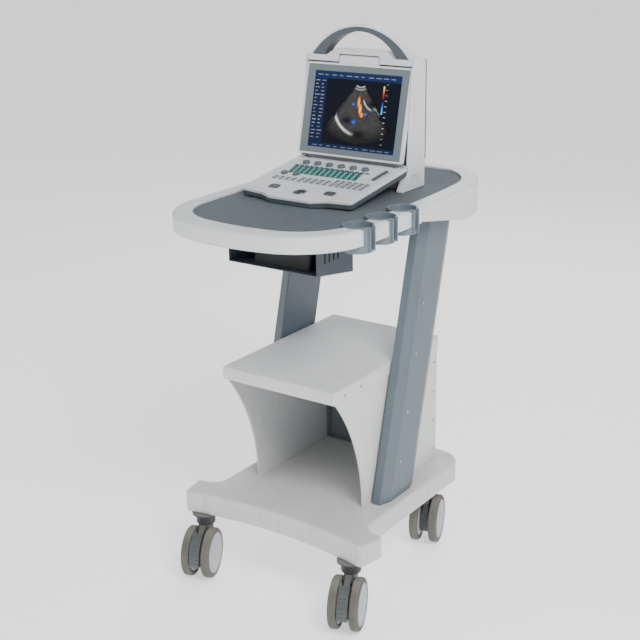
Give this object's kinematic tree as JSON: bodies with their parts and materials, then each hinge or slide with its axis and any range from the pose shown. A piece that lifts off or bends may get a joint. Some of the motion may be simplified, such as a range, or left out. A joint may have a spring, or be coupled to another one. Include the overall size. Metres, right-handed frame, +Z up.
{
  "type": "portable ultrasound scanner on trolley",
  "caption": "Suitcase-type ultrasound scanner with folding keyboard and tilting screen, on a wheeled clinic trolley with shelf cabinet, table and probe cups.",
  "frame": {"origin": "on the floor under the middle of the trolley", "axes": "+Z up, the user stands at -Y, +X to the user's right, X = 0 is the trolley's plane of symmetry"},
  "size_m": [0.5631, 0.84, 1.321],
  "materials": {
    "white_plastic": "fine satin grain",
    "light_plastic": "satin",
    "column_grey": "satin powder coat",
    "cabinet_panel": "satin powder coat",
    "sheet_steel": "satin powder coat",
    "mat_grey": "matt, fine grain",
    "cup_grey": "satin",
    "tray_dark": "satin",
    "black_plastic": "fine grain",
    "screw_steel": "satin",
    "yoke_grey": "satin",
    "wheel_core": "satin",
    "pedal_grey": "satin",
    "stem_steel": "zinc",
    "slate_plastic": "satin",
    "bezel_grey": "satin",
    "screen_glass": "gloss",
    "deck_grey": "satin",
    "keys_teal": "satin",
    "keys_grey": "satin",
    "ball_dark": "gloss",
    "board_green": "solder mask",
    "rubber_dark": "matt"
  },
  "bodies": {
    "trolley": {"base_slab": "white_plastic", "column_left": "column_grey", "column_right": "column_grey", "panel_screws": "screw_steel", "cabinet_top": "cabinet_panel", "cabinet_side_left": "cabinet_panel", "cabinet_side_right": "cabinet_panel", "cabinet_back": "sheet_steel", "table_rim": "white_plastic", "table_mat": "mat_grey", "table_subframe": "sheet_steel", "power_tray": "tray_dark", "power_adapter": "black_plastic", "probe_cup_front": "cup_grey", "probe_cup_middle": "cup_grey", "probe_cup_rear": "cup_grey", "caster_stems": "stem_steel", "scanner_body": "white_plastic", "scanner_rear_cover": "slate_plastic", "handle": "white_plastic", "handle_grip": "slate_plastic", "top_cap": "white_plastic", "scanner_feet": "rubber_dark", "battery_pack": "slate_plastic", "main_board": "board_green", "probe_ports": "black_plastic", "power_inlet": "black_plastic"},
    "screen_shaft": {"screen_hinge_shaft": "stem_steel"},
    "screen": {"screen_frame": "white_plastic", "screen_bezel": "bezel_grey", "lcd_panel": "screen_glass", "screen_back": "slate_plastic"},
    "keyboard": {"keyboard_bottom": "slate_plastic", "keyboard_top": "white_plastic", "key_deck": "deck_grey", "keyboard_hinge_pins": "stem_steel", "trackball_ring": "light_plastic"},
    "letter_keys": {"letter_keys": "keys_teal"},
    "function_keys": {"function_keys": "keys_grey"},
    "paddle_keys": {"paddle_keys": "keys_grey"},
    "left_button": {"left_button": "keys_grey"},
    "right_button": {"right_button": "keys_grey"},
    "trackball": {"trackball": "ball_dark"},
    "tgc_sliders": {"tgc_sliders": "keys_teal"},
    "gain_knob": {"gain_knob": "keys_grey"},
    "depth_knob": {"depth_knob": "keys_grey"},
    "caster_fl": {"caster_fl_yoke": "yoke_grey"},
    "caster_fl_wheel_left": {"caster_fl_wheel_left": "wheel_core"},
    "caster_fl_wheel_right": {"caster_fl_wheel_right": "wheel_core"},
    "caster_fl_pedal": {"caster_fl_pedal": "pedal_grey"},
    "caster_fr": {"caster_fr_yoke": "yoke_grey"},
    "caster_fr_wheel_left": {"caster_fr_wheel_left": "wheel_core"},
    "caster_fr_wheel_right": {"caster_fr_wheel_right": "wheel_core"},
    "caster_fr_pedal": {"caster_fr_pedal": "pedal_grey"},
    "caster_rl": {"caster_rl_yoke": "yoke_grey"},
    "caster_rl_wheel_left": {"caster_rl_wheel_left": "wheel_core"},
    "caster_rl_wheel_right": {"caster_rl_wheel_right": "wheel_core"},
    "caster_rr": {"caster_rr_yoke": "yoke_grey"},
    "caster_rr_wheel_left": {"caster_rr_wheel_left": "wheel_core"},
    "caster_rr_wheel_right": {"caster_rr_wheel_right": "wheel_core"}
  },
  "joints": [
    {"name": "caster_fl_swivel", "type": "hinge", "parent": "trolley", "child": "caster_fl", "pos_m": [-0.219, -0.268, 0.14], "axis": [0, 0, 1], "continuous": true},
    {"name": "caster_fl_spin_left", "type": "hinge", "parent": "caster_fl", "child": "caster_fl_wheel_left", "pos_m": [-0.21727, -0.31018, 0.0625], "axis": [0.9336, 0.3584, 0], "continuous": true},
    {"name": "caster_fl_spin_right", "type": "hinge", "parent": "caster_fl", "child": "caster_fl_wheel_right", "pos_m": [-0.19206, -0.30051, 0.0625], "axis": [0.9336, 0.3584, 0], "continuous": true},
    {"name": "caster_fl_brake", "type": "hinge", "parent": "caster_fl", "child": "caster_fl_pedal", "pos_m": [-0.19927, -0.31939, 0.10385], "axis": [0.9336, 0.3584, 0], "range_deg": [0, 8]},
    {"name": "caster_fr_swivel", "type": "hinge", "parent": "trolley", "child": "caster_fr", "pos_m": [0.219, -0.268, 0.14], "axis": [0, 0, 1], "continuous": true},
    {"name": "caster_fr_spin_left", "type": "hinge", "parent": "caster_fr", "child": "caster_fr_wheel_left", "pos_m": [0.22073, -0.31018, 0.0625], "axis": [0.9336, 0.3584, 0], "continuous": true},
    {"name": "caster_fr_spin_right", "type": "hinge", "parent": "caster_fr", "child": "caster_fr_wheel_right", "pos_m": [0.24594, -0.30051, 0.0625], "axis": [0.9336, 0.3584, 0], "continuous": true},
    {"name": "caster_fr_brake", "type": "hinge", "parent": "caster_fr", "child": "caster_fr_pedal", "pos_m": [0.23873, -0.31939, 0.10385], "axis": [0.9336, 0.3584, 0], "range_deg": [0, 8]},
    {"name": "caster_rl_swivel", "type": "hinge", "parent": "trolley", "child": "caster_rl", "pos_m": [-0.16, 0.201, 0.14], "axis": [0, 0, 1], "continuous": true},
    {"name": "caster_rl_spin_left", "type": "hinge", "parent": "caster_rl", "child": "caster_rl_wheel_left", "pos_m": [-0.16048, 0.15879, 0.0625], "axis": [0.9511, 0.309, 0], "continuous": true},
    {"name": "caster_rl_spin_right", "type": "hinge", "parent": "caster_rl", "child": "caster_rl_wheel_right", "pos_m": [-0.1348, 0.16713, 0.0625], "axis": [0.9511, 0.309, 0], "continuous": true},
    {"name": "caster_rr_swivel", "type": "hinge", "parent": "trolley", "child": "caster_rr", "pos_m": [0.16, 0.201, 0.14], "axis": [0, 0, 1], "continuous": true},
    {"name": "caster_rr_spin_left", "type": "hinge", "parent": "caster_rr", "child": "caster_rr_wheel_left", "pos_m": [0.15952, 0.15879, 0.0625], "axis": [0.9511, 0.309, 0], "continuous": true},
    {"name": "caster_rr_spin_right", "type": "hinge", "parent": "caster_rr", "child": "caster_rr_wheel_right", "pos_m": [0.1852, 0.16713, 0.0625], "axis": [0.9511, 0.309, 0], "continuous": true},
    {"name": "keyboard_fold", "type": "hinge", "parent": "trolley", "child": "keyboard", "pos_m": [-0.025, 0.099, 0.988], "axis": [-1, 0, 0], "range_deg": [0, 96.8]},
    {"name": "screen_stow", "type": "hinge", "parent": "trolley", "child": "screen_shaft", "pos_m": [-0.025, 0.1528, 1.21611], "axis": [1, 0, 0], "range_deg": [0, 13.1]},
    {"name": "screen_tilt", "type": "hinge", "parent": "screen_shaft", "child": "screen", "pos_m": [-0.025, 0.1528, 1.21611], "axis": [1, 0, 0], "range_deg": [-17, 0]},
    {"name": "letter_keys_press", "type": "slide", "parent": "keyboard", "child": "letter_keys", "axis": [0, 0.1426, -0.9898], "range_m": [0, 0.0018], "stiffness_N_per_m": 2000},
    {"name": "function_keys_press", "type": "slide", "parent": "keyboard", "child": "function_keys", "axis": [0, 0.1426, -0.9898], "range_m": [0, 0.0014], "stiffness_N_per_m": 2000},
    {"name": "paddle_keys_press", "type": "slide", "parent": "keyboard", "child": "paddle_keys", "axis": [0, 0.1426, -0.9898], "range_m": [0, 0.002], "stiffness_N_per_m": 1500},
    {"name": "left_button_press", "type": "slide", "parent": "keyboard", "child": "left_button", "axis": [0, 0.1426, -0.9898], "range_m": [0, 0.002], "stiffness_N_per_m": 500},
    {"name": "right_button_press", "type": "slide", "parent": "keyboard", "child": "right_button", "axis": [0, 0.1426, -0.9898], "range_m": [0, 0.002], "stiffness_N_per_m": 500},
    {"name": "trackball_roll", "type": "hinge", "parent": "keyboard", "child": "trackball", "pos_m": [-0.022, -0.11001, 0.95909], "axis": [1, 0, 0], "continuous": true},
    {"name": "tgc_sliders_slide", "type": "slide", "parent": "keyboard", "child": "tgc_sliders", "axis": [1, 0, 0], "range_m": [-0.007, 0.007]},
    {"name": "gain_knob_turn", "type": "hinge", "parent": "keyboard", "child": "gain_knob", "pos_m": [-0.138, -0.013, 0.97994], "axis": [0, -0.1426, 0.9898], "continuous": true},
    {"name": "depth_knob_turn", "type": "hinge", "parent": "keyboard", "child": "depth_knob", "pos_m": [-0.103, -0.013, 0.97994], "axis": [0, -0.1426, 0.9898], "continuous": true}
  ],
  "couplings": [
    {"joint": "screen_stow", "follows": "keyboard_fold", "ratio": 0.13533}
  ]
}
